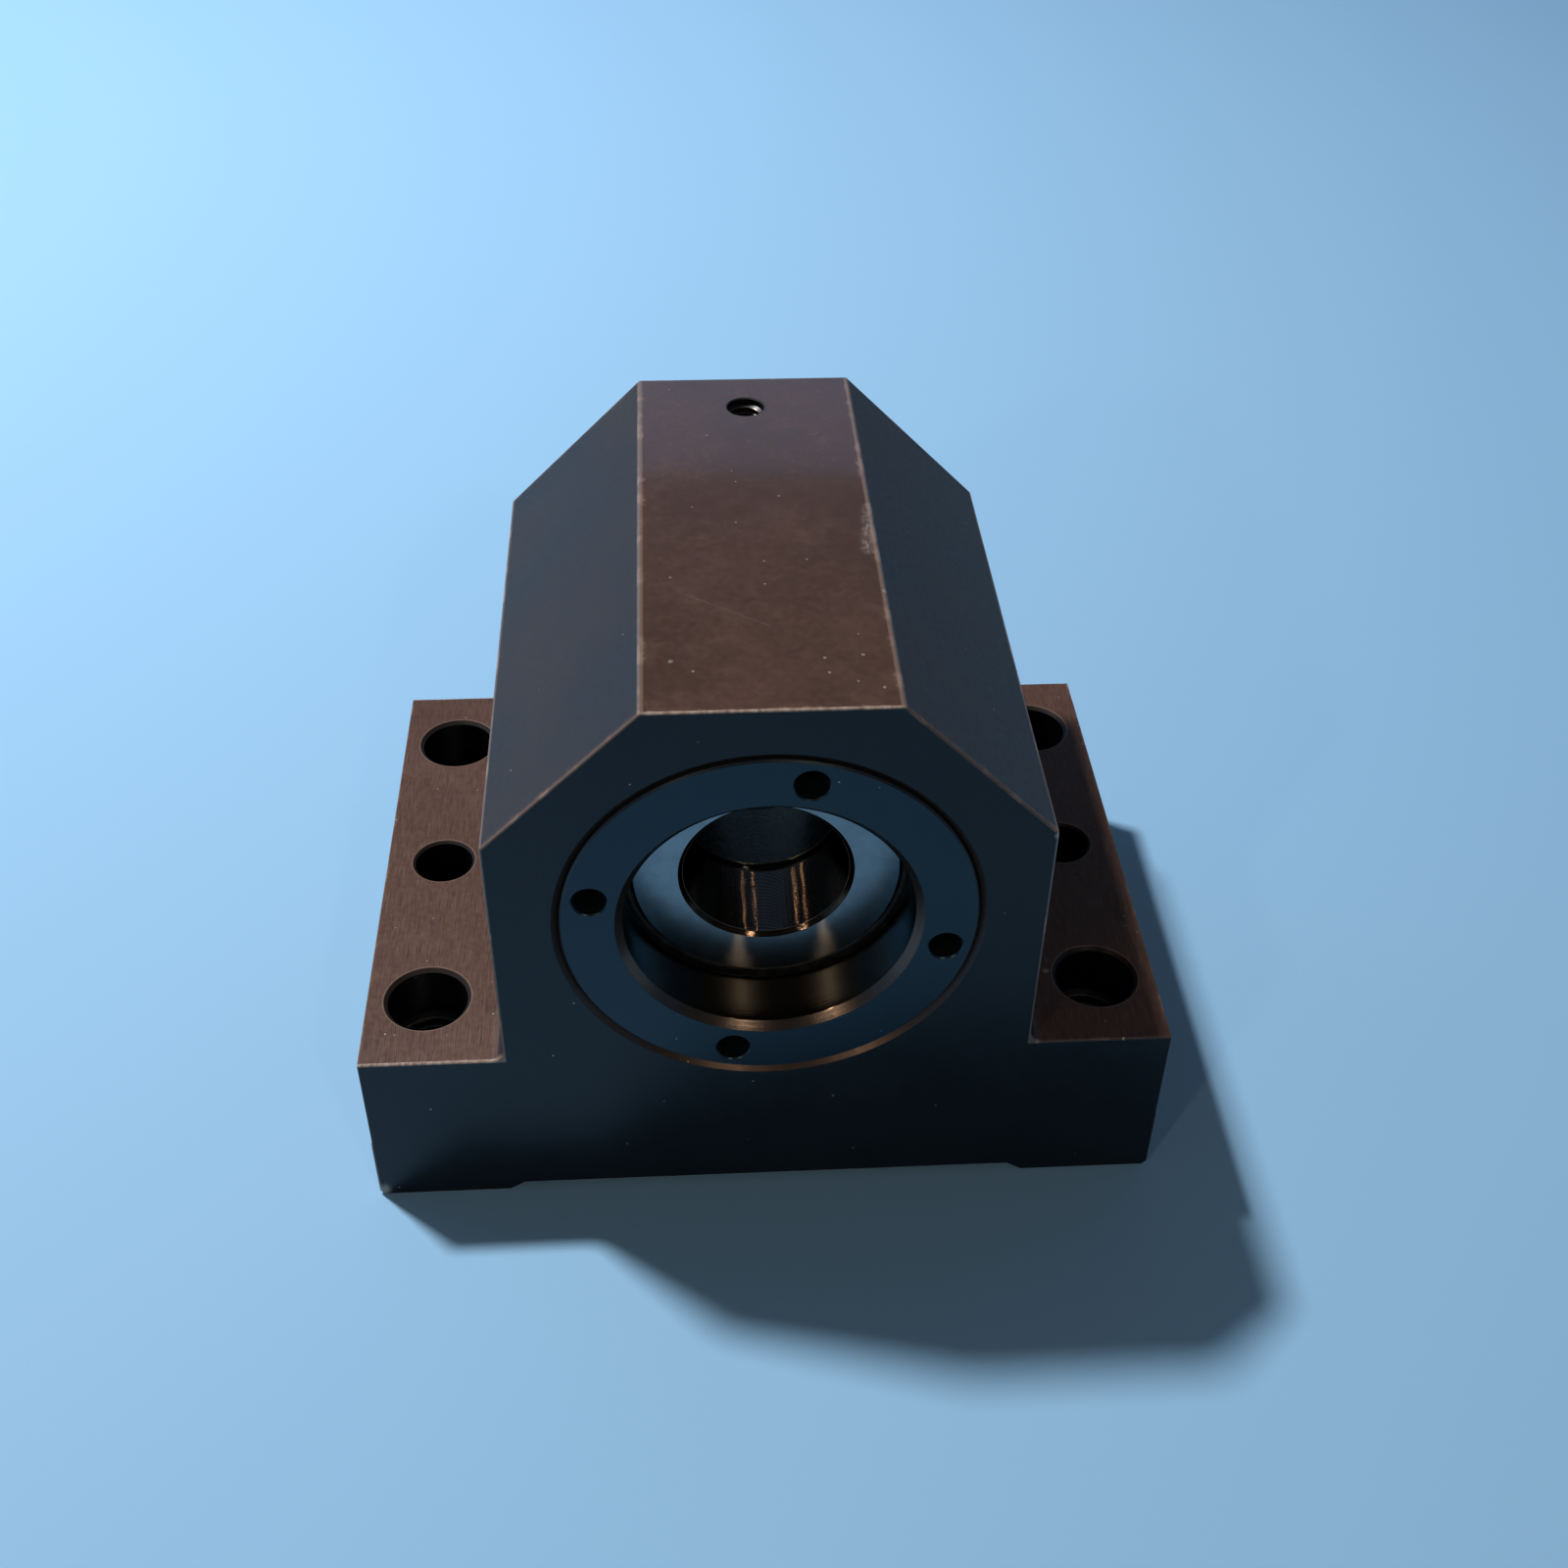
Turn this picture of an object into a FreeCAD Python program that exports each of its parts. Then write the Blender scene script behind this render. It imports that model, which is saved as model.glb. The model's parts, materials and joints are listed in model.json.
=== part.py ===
import FreeCAD, Part
import math
import os
import Sketcher

# Pillow block bearing: a one-piece steel block whose stepped bore holds a pair of ball bearings,
# clamped by a threaded ring. Millimetres. The origin is under the middle of the foot, X runs
# across the foot, Y along the shaft axis with the threaded ring's side at -Y, and Z is up.

# Driving dimensions: name, value, what it measures
DIMENSIONS = (
    ("axis_height", 58.0, "foot's underside to the shaft axis"),
    ("block_depth", 92.5, "front face to rear face"),
    ("side_wall", 14.5, "bearing seat to each side of the body"),
    ("crown_wall", 13.0, "bearing seat to the top face"),
    ("shoulder_cut", 23.0, "leg of the 45 degree cut at each upper corner"),
    ("foot_width", 22.5, "body side to foot side"),
    ("foot_height", 31.0, "underside to the top of the foot"),
    ("foot_corner_radius", 2.0, "hollow corner between foot and body"),
    ("foot_lower_chamfer", 0.8, "lower outer edges of the foot"),
    ("pad_width", 21.1, "each ground pad under the foot"),
    ("relief_depth", 1.6, "hollow between the pads"),
    ("relief_slope", 2.4, "run of the hollow's sloped ends"),
    ("reference_edge_height", 12.0, "ground edge low on each side of the foot"),
    ("reference_edge_step", 0.25, "how far that edge stands proud"),
    ("edge_break", 0.4, "rounding of the block's outer edges"),
    ("bolt_wall_distance", 12.75, "body side to the bolt and dowel holes"),
    ("bolt_end_distance", 13.75, "front and rear faces to the bolt holes"),
    ("bolt_hole_diameter", 12.6, "plain upper part of a bolt hole"),
    ("bolt_hole_plain_depth", 8.5, "length of that plain part"),
    ("bolt_thread_diameter", 14.0, "major diameter of the thread below it"),
    ("bolt_mouth_chamfer", 0.65, "bolt holes' mouths"),
    ("dowel_hole_diameter", 9.7, "dowel hole, left to be reamed"),
    ("dowel_mouth_chamfer", 0.5, "dowel holes' mouths"),
    ("port_rear_distance", 10.0, "rear face to the tapped port"),
    ("port_thread_diameter", 6.0, "major diameter of the port's thread"),
    ("port_thread_depth", 8.0, "top face to the end of the port's thread"),
    ("port_feed_diameter", 3.5, "drilling from the port to the rear bore"),
    ("port_mouth_chamfer", 0.2, "port's mouth"),
    ("bore_mouth_chamfer", 1.1, "front mouth of the block's bore"),
    ("rear_mouth_chamfer", 1.0, "rear mouth of the block's bore"),
    ("seat_shoulder", 3.5, "step behind the bearing seat"),
    ("seat_clearance", 0.01, "bearings in their seat and seals in theirs, on the radius"),
    ("thread_allowance", 4.5, "bearing seat to the ring's thread, on the radius"),
    ("thread_runout", 1.5, "bore of the ring's thread past the ring"),
    ("thread_clearance", 0.05, "ring in the block's thread, on the radius"),
    ("ring_thickness", 11.0, "threaded ring, front to rear"),
    ("ring_bore_gap", 1.2, "inner ring's face to the threaded ring's bore"),
    ("ring_bore_chamfer", 1.2, "threaded ring's bore at the front"),
    ("ring_rear_chamfer", 0.6, "threaded ring's bore at the rear"),
    ("ring_edge_break", 0.3, "threaded ring's outer edges"),
    ("ring_turn", 12.0, "angle to which the ring is screwed in, in degrees"),
    ("spanner_holes", 4, "number of holes for the pin spanner"),
    ("spanner_hole_offset", 0.55, "their circle outside the middle of the ring's wall"),
    ("spanner_hole_diameter", 5.0, "those holes, across"),
    ("spanner_hole_depth", 7.0, "those holes' depth"),
    ("spanner_mouth_chamfer", 0.2, "those holes' mouths"),
    ("bearing_bore", 25.0, "shaft diameter"),
    ("bearing_outer_diameter", 52.0, "outer rings"),
    ("bearing_width", 15.0, "each bearing of the pair, front to rear"),
    ("inner_ring_chamfer", 0.7, "inner rings' bore edges at the pair's faces"),
    ("inner_joint_chamfer", 1.0, "inner rings' bore edges where the two meet"),
    ("inner_ring_edge_break", 0.2, "inner rings' outer edges"),
    ("outer_ring_chamfer", 0.6, "outer rings' edges"),
    ("ball_circle_share", 0.63, "bore to ball circle, as a share of the rings' section"),
    ("ball_share", 0.4116, "ball diameter, as a share of the rings' section"),
    ("balls_per_row", 18, "number of balls in each bearing"),
    ("row_shift", 0.7, "balls nearer to the joint than the middle of their bearing"),
    ("high_shoulder", 0.9, "ball circle to a raceway's high shoulder"),
    ("low_shoulder", 2.2, "ball circle to a raceway's low shoulder"),
    ("raceway_clearance", 0.05, "ball to raceway"),
    ("cage_clearance", 0.3, "cage to the rings' shoulders"),
    ("cage_pocket_clearance", 0.15, "ball to cage pocket"),
    ("cage_rim", 0.6, "cage on each side of a pocket"),
    ("seal_inset", 0.5, "seal behind the pair's face"),
    ("seal_thickness", 1.5, "seal, front to rear"),
    ("seal_seat_step", 0.5, "outer ring's low shoulder to the seal seat"),
    ("seal_lip_clearance", 0.2, "seal lip to the inner ring"),
)

# Worked-out places, as expressions on the sheet
SEAT_RADIUS = "(Size.bearing_outer_diameter / 2 + Size.seat_clearance)"
BODY_HALF = "(Size.bearing_outer_diameter / 2 + Size.side_wall)"
FOOT_HALF = f"({BODY_HALF} + Size.foot_width)"
CROWN = "(Size.bearing_outer_diameter / 2 + Size.crown_wall)"
TOP = f"(Size.axis_height + {CROWN})"
FRONT = "(-Size.block_depth / 2)"
REAR = "(Size.block_depth / 2)"
THREAD_RADIUS = "(Size.bearing_outer_diameter / 2 + Size.thread_allowance)"
REAR_BORE_RADIUS = "(Size.bearing_outer_diameter / 2 - Size.seat_shoulder)"
BEARING_FRONT = f"({FRONT} + Size.ring_thickness)"
PAIR_JOINT = f"({BEARING_FRONT} + Size.bearing_width)"
BEARING_REAR = f"({PAIR_JOINT} + Size.bearing_width)"
BOLT_X = f"({BODY_HALF} + Size.bolt_wall_distance)"
BOLT_Y = "(Size.block_depth / 2 - Size.bolt_end_distance)"
RING_SECTION = "((Size.bearing_outer_diameter - Size.bearing_bore) / 2)"
PITCH_RADIUS = f"(Size.bearing_bore / 2 + Size.ball_circle_share * {RING_SECTION})"
ROW_OFFSET = "(Size.bearing_width / 2 - Size.row_shift)"
BALL_DIAMETER = f"(Size.ball_share * {RING_SECTION})"
RACEWAY_DIAMETER = f"({BALL_DIAMETER} + 2 * Size.raceway_clearance)"
INNER_FACE_RADIUS = f"({PITCH_RADIUS} - Size.high_shoulder)"
INNER_JOINT_RADIUS = f"({PITCH_RADIUS} - Size.low_shoulder)"
OUTER_RIB_RADIUS = f"({PITCH_RADIUS} + Size.high_shoulder)"
OUTER_END_RADIUS = f"({PITCH_RADIUS} + Size.low_shoulder)"
SEAL_SEAT_RADIUS = f"({OUTER_END_RADIUS} + Size.seal_seat_step)"
SEAL_DEPTH = "(Size.seal_inset + Size.seal_thickness)"
RING_BORE_RADIUS = f"({INNER_FACE_RADIUS} + Size.ring_bore_gap)"
RING_OUTER_RADIUS = f"({THREAD_RADIUS} - Size.thread_clearance)"
CAGE_INNER_RADIUS = f"({INNER_FACE_RADIUS} + Size.cage_clearance)"
CAGE_OUTER_RADIUS = f"({OUTER_RIB_RADIUS} - Size.cage_clearance)"
CAGE_HALF_WIDTH = f"({BALL_DIAMETER} / 2 + Size.cage_pocket_clearance + Size.cage_rim)"
FULL_TURN = 360
FRONT_SIDE = -1
REAR_SIDE = 1

doc = FreeCAD.newDocument("pillow_block_bearing")
sheet = doc.addObject("Spreadsheet::Sheet", "Size")
for row, (alias, value, meaning) in enumerate(DIMENSIONS, start=1):
    sheet.set(f"A{row}", meaning)
    sheet.set(f"B{row}", str(value))
    sheet.setAlias(f"B{row}", alias)
doc.recompute()


def worked(expression):
    """The value that an expression on the sheet has now."""
    return float(sheet.evalExpression(expression))


def new_body(name, along_y="0", up_z="0"):
    """An empty body whose own origin is placed by expressions."""
    body = doc.addObject("PartDesign::Body", name)
    body.Label = name
    body.setExpression("Placement.Base.y", along_y)
    body.setExpression("Placement.Base.z", up_z)
    return body


def origin_feature(body, role):
    return next(item for item in body.Origin.OriginFeatures if item.Role == role)


def new_sketch(body, name, plane, shift=None):
    """A sketch on one of the body's origin planes; shift is an offset axis and its expression."""
    sketch = body.newObject("Sketcher::SketchObject", name)
    sketch.AttachmentSupport = (origin_feature(body, plane), [""])
    sketch.MapMode = "FlatFace"
    if shift:
        sketch.setExpression(f"AttachmentOffset.Base.{shift[0]}", shift[1])
    return sketch


def bind_point(sketch, geometry, point, place):
    """Hold one point of the sketch at the two coordinates that the expressions give."""
    for direction, axis, expression in zip(("DistanceX", "DistanceY"), (-2, -1), place):
        if expression == "0":
            sketch.addConstraint(Sketcher.Constraint("PointOnObject", geometry, point, axis))
            continue
        distance = Sketcher.Constraint(direction, -1, 1, geometry, point, worked(expression))
        sketch.setExpression(f"Constraints[{sketch.addConstraint(distance)}]", expression)


def draw_outline(sketch, corners):
    """A closed straight-sided outline; each corner is a pair of expressions."""
    places = [FreeCAD.Vector(worked(across), worked(along), 0) for across, along in corners]
    for start, end in zip(places, places[1:] + places[:1]):
        sketch.addGeometry(Part.LineSegment(start, end), False)
    for side, corner in enumerate(corners):
        following = (side + 1) % len(corners)
        sketch.addConstraint(Sketcher.Constraint("Coincident", side, 2, following, 1))
        bind_point(sketch, side, 1, corner)
    return sketch


def draw_circles(sketch, centres, diameter):
    """Circles of one diameter; each centre is a pair of expressions."""
    for across, along in centres:
        middle = FreeCAD.Vector(worked(across), worked(along), 0)
        round_edge = Part.Circle(middle, FreeCAD.Vector(0, 0, 1), worked(diameter) / 2)
        circle = sketch.addGeometry(round_edge, False)
        bind_point(sketch, circle, 3, (across, along))
        size = sketch.addConstraint(Sketcher.Constraint("Diameter", circle, worked(diameter)))
        sketch.setExpression(f"Constraints[{size}]", diameter)
    return sketch


def turn(body, kind, name, sketch):
    """A full turn of the sketch about its own horizontal axis: a Revolution or a Groove."""
    feature = body.newObject(f"PartDesign::{kind}", name)
    feature.Profile = sketch
    feature.ReferenceAxis = (sketch, ["H_Axis"])
    feature.Angle = FULL_TURN
    doc.recompute()
    return feature


def drill(body, name, sketch, diameter, depth, chamfer=None, upwards=False):
    """Flat-ended holes at the sketch's circles, each with an optional chamfered mouth."""
    doc.recompute()
    hole = body.newObject("PartDesign::Hole", name)
    hole.Profile = sketch
    hole.ThreadType = "None"
    hole.DepthType = "Dimension"
    hole.DrillPoint = "Flat"
    hole.Reversed = upwards
    hole.setExpression("Diameter", diameter)
    hole.setExpression("Depth", depth)
    if chamfer:
        hole.HoleCutType = "Countersink"
        hole.HoleCutCustomValues = True
        hole.HoleCutCountersinkAngle = 90
        hole.setExpression("HoleCutDiameter", f"{diameter} + 2 * {chamfer}")
    doc.recompute()
    return hole


def repeat_round(body, name, feature, count):
    """Copies of one cut, evenly round the body's own Y axis."""
    pattern = body.newObject("PartDesign::PolarPattern", name)
    pattern.Originals = [feature]
    pattern.Axis = (origin_feature(body, "Y_Axis"), [""])
    pattern.Angle = FULL_TURN
    pattern.setExpression("Occurrences", count)
    body.Tip = pattern
    doc.recompute()
    return pattern


def edge_names(feature, wanted):
    """Names of the feature's edges that the test function picks."""
    return [f"Edge{number}" for number, edge in enumerate(feature.Shape.Edges, start=1) if wanted(edge)]


def mirrored_outline(right_half):
    """A right half from bottom to top, completed by its mirror image in the left half."""
    return right_half + [(f"-{across}", up) for across, up in reversed(right_half)]


def make_housing():
    """The block: one piece of steel, milled, ground under the foot and on its reference edges."""
    body = new_body("housing")
    body_top_side = f"({TOP} - Size.shoulder_cut)"
    top_half = f"({BODY_HALF} - Size.shoulder_cut)"
    pad_inside = f"({FOOT_HALF} - Size.pad_width)"
    section = draw_outline(new_sketch(body, "block_section", "XZ_Plane"), mirrored_outline([
        (f"({pad_inside} - Size.relief_slope)", "Size.relief_depth"),
        (pad_inside, "0"),
        (f"({FOOT_HALF} - Size.foot_lower_chamfer)", "0"),
        (FOOT_HALF, "Size.foot_lower_chamfer"),
        (FOOT_HALF, "Size.foot_height"),
        (BODY_HALF, "Size.foot_height"),
        (BODY_HALF, body_top_side),
        (top_half, TOP),
    ]))
    block = body.newObject("PartDesign::Pad", "block")
    block.Profile = section
    block.SideType = "Symmetric"
    block.setExpression("Length", "Size.block_depth")
    doc.recompute()

    def runs_along(corners):
        """Test for edges along Y through the given section corners, on both sides."""
        spots = [(worked(across), worked(up)) for across, up in corners]

        def wanted(edge):
            middle = edge.CenterOfMass
            straight = abs(edge.tangentAt(edge.FirstParameter).y) > 0.99
            near = (math.hypot(abs(middle.x) - across, middle.z - up) < 0.01 for across, up in spots)
            return straight and any(near)
        return wanted

    corner = body.newObject("PartDesign::Fillet", "foot_corners")
    corner.Base = (block, edge_names(block, runs_along([(BODY_HALF, "Size.foot_height")])))
    corner.setExpression("Radius", "Size.foot_corner_radius")
    doc.recompute()

    outer_corners = [(FOOT_HALF, "Size.foot_height"), (BODY_HALF, body_top_side), (top_half, TOP)]
    along_block = runs_along(outer_corners)

    def outer_edge(edge):
        on_face = all(abs(abs(vertex.Y) - worked(REAR)) < 0.01 for vertex in edge.Vertexes)
        return along_block(edge) or (on_face and abs(edge.CenterOfMass.y) > worked(REAR) - 0.01)

    breaks = body.newObject("PartDesign::Fillet", "edge_breaks")
    breaks.Base = (corner, edge_names(corner, outer_edge))
    breaks.setExpression("Radius", "Size.edge_break")
    doc.recompute()

    set_back = f"({FOOT_HALF} - Size.reference_edge_step)"
    outside = f"({FOOT_HALF} + Size.reference_edge_step)"
    over_foot = "(Size.foot_height + Size.reference_edge_step)"
    strip = [(set_back, "Size.reference_edge_height"), (outside, "Size.reference_edge_height"),
             (outside, over_foot), (set_back, over_foot)]
    for name, sign in (("left_side_relief", "-"), ("right_side_relief", "")):
        sketch = new_sketch(body, f"{name}_strip", "XZ_Plane")
        draw_outline(sketch, [(f"{sign}{across}", up) for across, up in strip])
        cut = body.newObject("PartDesign::Pocket", name)
        cut.Profile = sketch
        cut.Type = "ThroughAll"
        cut.SideType = "Symmetric"
        doc.recompute()

    thread_end = f"({BEARING_FRONT} + Size.thread_runout)"
    bore = new_sketch(body, "bore_section", "YZ_Plane", ("y", "Size.axis_height"))
    draw_outline(bore, [
        (FRONT, "0"),
        (FRONT, f"({THREAD_RADIUS} + Size.bore_mouth_chamfer)"),
        (f"({FRONT} + Size.bore_mouth_chamfer)", THREAD_RADIUS),
        (thread_end, THREAD_RADIUS),
        (thread_end, SEAT_RADIUS),
        (BEARING_REAR, SEAT_RADIUS),
        (BEARING_REAR, REAR_BORE_RADIUS),
        (f"({REAR} - Size.rear_mouth_chamfer)", REAR_BORE_RADIUS),
        (REAR, f"({REAR_BORE_RADIUS} + Size.rear_mouth_chamfer)"),
        (REAR, "0"),
    ])
    turn(body, "Groove", "stepped_bore", bore)

    bolts = [(BOLT_X, BOLT_Y), (f"-{BOLT_X}", BOLT_Y), (f"-{BOLT_X}", f"-{BOLT_Y}"), (BOLT_X, f"-{BOLT_Y}")]
    upper = new_sketch(body, "bolt_hole_tops", "XY_Plane", ("z", "Size.foot_height"))
    draw_circles(upper, bolts, "Size.bolt_hole_diameter")
    drill(body, "bolt_holes", upper, "Size.bolt_hole_diameter", "Size.bolt_hole_plain_depth",
          "Size.bolt_mouth_chamfer")
    lower = draw_circles(new_sketch(body, "bolt_thread_mouths", "XY_Plane"), bolts, "Size.bolt_thread_diameter")
    drill(body, "bolt_threads", lower, "Size.bolt_thread_diameter",
          "Size.foot_height - Size.bolt_hole_plain_depth", "Size.bolt_mouth_chamfer", upwards=True)

    dowels = [(BOLT_X, "0"), (f"-{BOLT_X}", "0")]
    dowel_tops = new_sketch(body, "dowel_hole_tops", "XY_Plane", ("z", "Size.foot_height"))
    draw_circles(dowel_tops, dowels, "Size.dowel_hole_diameter")
    drill(body, "dowel_holes", dowel_tops, "Size.dowel_hole_diameter", "Size.foot_height",
          "Size.dowel_mouth_chamfer")

    port_place = [("0", f"({REAR} - Size.port_rear_distance)")]
    port = new_sketch(body, "port_mouth", "XY_Plane", ("z", TOP))
    draw_circles(port, port_place, "Size.port_thread_diameter")
    drill(body, "port_thread", port, "Size.port_thread_diameter", "Size.port_thread_depth",
          "Size.port_mouth_chamfer")
    feed = new_sketch(body, "port_feed_mouth", "XY_Plane", ("z", TOP))
    draw_circles(feed, port_place, "Size.port_feed_diameter")
    drill(body, "port_feed", feed, "Size.port_feed_diameter", CROWN)
    return body


def make_threaded_ring():
    """The retaining ring: turned steel, screwed in flush with the block's front by a pin spanner."""
    body = new_body("threaded_ring", FRONT, "Size.axis_height")
    section = draw_outline(new_sketch(body, "ring_section", "YZ_Plane"), [
        ("0", f"({RING_BORE_RADIUS} + Size.ring_bore_chamfer)"),
        ("0", f"({RING_OUTER_RADIUS} - Size.ring_edge_break)"),
        ("Size.ring_edge_break", RING_OUTER_RADIUS),
        ("(Size.ring_thickness - Size.ring_edge_break)", RING_OUTER_RADIUS),
        ("Size.ring_thickness", f"({RING_OUTER_RADIUS} - Size.ring_edge_break)"),
        ("Size.ring_thickness", f"({RING_BORE_RADIUS} + Size.ring_rear_chamfer)"),
        ("(Size.ring_thickness - Size.ring_rear_chamfer)", RING_BORE_RADIUS),
        ("Size.ring_bore_chamfer", RING_BORE_RADIUS),
    ])
    turn(body, "Revolution", "ring_blank", section)
    hole_circle = f"(({RING_BORE_RADIUS} + {RING_OUTER_RADIUS}) / 2 + Size.spanner_hole_offset)"
    mouth = new_sketch(body, "spanner_hole_mouth", "XZ_Plane")
    draw_circles(mouth, [("0", hole_circle)], "Size.spanner_hole_diameter")
    hole = drill(body, "spanner_hole", mouth, "Size.spanner_hole_diameter", "Size.spanner_hole_depth",
                 "Size.spanner_mouth_chamfer")
    repeat_round(body, "spanner_holes", hole, "Size.spanner_holes")
    body.Placement.Rotation = FreeCAD.Rotation(FreeCAD.Vector(0, 1, 0), worked("Size.ring_turn"))
    body.setExpression("Placement.Rotation.Angle", "Size.ring_turn")
    return body


def make_outer_ring(name, side):
    """One bearing's outer ring: high shoulder where the pair meets, low one at the seal."""
    body = new_body(name, PAIR_JOINT, "Size.axis_height")
    outer = "(Size.bearing_outer_diameter / 2)"
    chamfered = f"({outer} - Size.outer_ring_chamfer)"
    face = f"({side} * Size.bearing_width)"
    inside_face = f"({side} * (Size.bearing_width - Size.outer_ring_chamfer))"
    seal_step = f"({side} * (Size.bearing_width - {SEAL_DEPTH}))"
    row = f"({side} * {ROW_OFFSET})"
    section = draw_outline(new_sketch(body, "outer_ring_section", "YZ_Plane"), [
        ("0", OUTER_RIB_RADIUS),
        (row, OUTER_RIB_RADIUS),
        (row, OUTER_END_RADIUS),
        (seal_step, OUTER_END_RADIUS),
        (seal_step, SEAL_SEAT_RADIUS),
        (face, SEAL_SEAT_RADIUS),
        (face, chamfered),
        (inside_face, outer),
        (f"({side} * Size.outer_ring_chamfer)", outer),
        ("0", chamfered),
    ])
    turn(body, "Revolution", "outer_ring_blank", section)
    track = new_sketch(body, "outer_raceway_section", "YZ_Plane")
    turn(body, "Groove", "outer_raceway", draw_circles(track, [(row, PITCH_RADIUS)], RACEWAY_DIAMETER))
    return body


def make_inner_ring(name, side):
    """One bearing's inner ring: high shoulder at the pair's face, low one where the pair meets."""
    body = new_body(name, PAIR_JOINT, "Size.axis_height")
    bore = "(Size.bearing_bore / 2)"
    face = f"({side} * Size.bearing_width)"
    inside_face = f"({side} * (Size.bearing_width - Size.inner_ring_chamfer))"
    inside_edge = f"({side} * (Size.bearing_width - Size.inner_ring_edge_break))"
    row = f"({side} * {ROW_OFFSET})"
    section = draw_outline(new_sketch(body, "inner_ring_section", "YZ_Plane"), [
        ("0", f"({bore} + Size.inner_joint_chamfer)"),
        ("0", INNER_JOINT_RADIUS),
        (row, INNER_JOINT_RADIUS),
        (row, INNER_FACE_RADIUS),
        (inside_edge, INNER_FACE_RADIUS),
        (face, f"({INNER_FACE_RADIUS} - Size.inner_ring_edge_break)"),
        (face, f"({bore} + Size.inner_ring_chamfer)"),
        (inside_face, bore),
        (f"({side} * Size.inner_joint_chamfer)", bore),
    ])
    turn(body, "Revolution", "inner_ring_blank", section)
    track = new_sketch(body, "inner_raceway_section", "YZ_Plane")
    turn(body, "Groove", "inner_raceway", draw_circles(track, [(row, PITCH_RADIUS)], RACEWAY_DIAMETER))
    return body


def make_cage(name, side):
    """One bearing's cage: a moulded ring with a round pocket for each ball."""
    body = new_body(name, PAIR_JOINT, "Size.axis_height")
    row = f"({side} * {ROW_OFFSET})"
    section = draw_outline(new_sketch(body, "cage_section", "YZ_Plane"), [
        (f"({row} - {CAGE_HALF_WIDTH})", CAGE_INNER_RADIUS),
        (f"({row} + {CAGE_HALF_WIDTH})", CAGE_INNER_RADIUS),
        (f"({row} + {CAGE_HALF_WIDTH})", CAGE_OUTER_RADIUS),
        (f"({row} - {CAGE_HALF_WIDTH})", CAGE_OUTER_RADIUS),
    ])
    turn(body, "Revolution", "cage_blank", section)
    pocket_diameter = f"({BALL_DIAMETER} + 2 * Size.cage_pocket_clearance)"
    mouth = draw_circles(new_sketch(body, "pocket_mouth", "XY_Plane"), [("0", row)], pocket_diameter)
    pocket = body.newObject("PartDesign::Pocket", "pocket")
    pocket.Profile = mouth
    pocket.Reversed = True
    pocket.setExpression("Length", f"{CAGE_OUTER_RADIUS} + Size.cage_clearance")
    doc.recompute()
    repeat_round(body, "pockets", pocket, "Size.balls_per_row")
    return body


def make_seal(name, side):
    """One bearing's seal: a flat ring in the outer ring's seat, its lip just off the inner ring."""
    body = new_body(name, PAIR_JOINT, "Size.axis_height")
    outside = f"({side} * (Size.bearing_width - Size.seal_inset))"
    inside = f"({side} * (Size.bearing_width - {SEAL_DEPTH}))"
    lip = f"({INNER_FACE_RADIUS} + Size.seal_lip_clearance)"
    rim = f"({SEAL_SEAT_RADIUS} - Size.seat_clearance)"
    section = new_sketch(body, "seal_section", "YZ_Plane")
    draw_outline(section, [(outside, lip), (inside, lip), (inside, rim), (outside, rim)])
    turn(body, "Revolution", "seal_ring", section)
    return body


def make_ball(name, side, number):
    """One ball of a bearing, at its place on the ball circle."""
    ball = doc.addObject("Part::Sphere", name)
    ball.Label = name
    angle = f"({number} * {FULL_TURN} / Size.balls_per_row)"
    ball.setExpression("Radius", f"{BALL_DIAMETER} / 2")
    ball.setExpression("Placement.Base.x", f"{PITCH_RADIUS} * sin({angle})")
    ball.setExpression("Placement.Base.y", f"{PAIR_JOINT} + {side} * {ROW_OFFSET}")
    ball.setExpression("Placement.Base.z", f"Size.axis_height + {PITCH_RADIUS} * cos({angle})")
    return ball


def check_model(pieces):
    """Stop if an object failed, a cut took nothing away or a piece has no valid shape."""
    cutting = ("PartDesign::Pocket", "PartDesign::Groove", "PartDesign::Hole", "PartDesign::PolarPattern")
    for item in doc.Objects:
        if "Invalid" in item.State or "Error" in item.State:
            raise RuntimeError(f"{item.Name} failed: {item.State}")
        if item.TypeId in cutting and item.Shape.Volume >= item.BaseFeature.Shape.Volume:
            raise RuntimeError(f"{item.Name} cuts nothing")
    for piece in pieces:
        if piece.Shape.isNull() or not piece.Shape.isValid() or len(piece.Shape.Solids) != 1:
            raise RuntimeError(f"{piece.Label} isn't one valid solid")


pieces = [make_housing(), make_threaded_ring()]
for row_name, side in (("front", FRONT_SIDE), ("rear", REAR_SIDE)):
    pieces.append(make_outer_ring(f"{row_name}_outer_ring", side))
    pieces.append(make_inner_ring(f"{row_name}_inner_ring", side))
    pieces.append(make_cage(f"{row_name}_cage", side))
    pieces.append(make_seal(f"{row_name}_seal", side))
    for number in range(int(worked("Size.balls_per_row"))):
        pieces.append(make_ball(f"{row_name}_ball_{number + 1:02d}", side, number))
doc.recompute()
check_model(pieces)

os.makedirs("parts", exist_ok=True)
for piece in pieces:
    piece.Shape.exportStep(f"parts/{piece.Label}.step")
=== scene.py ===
import json
import math

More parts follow.
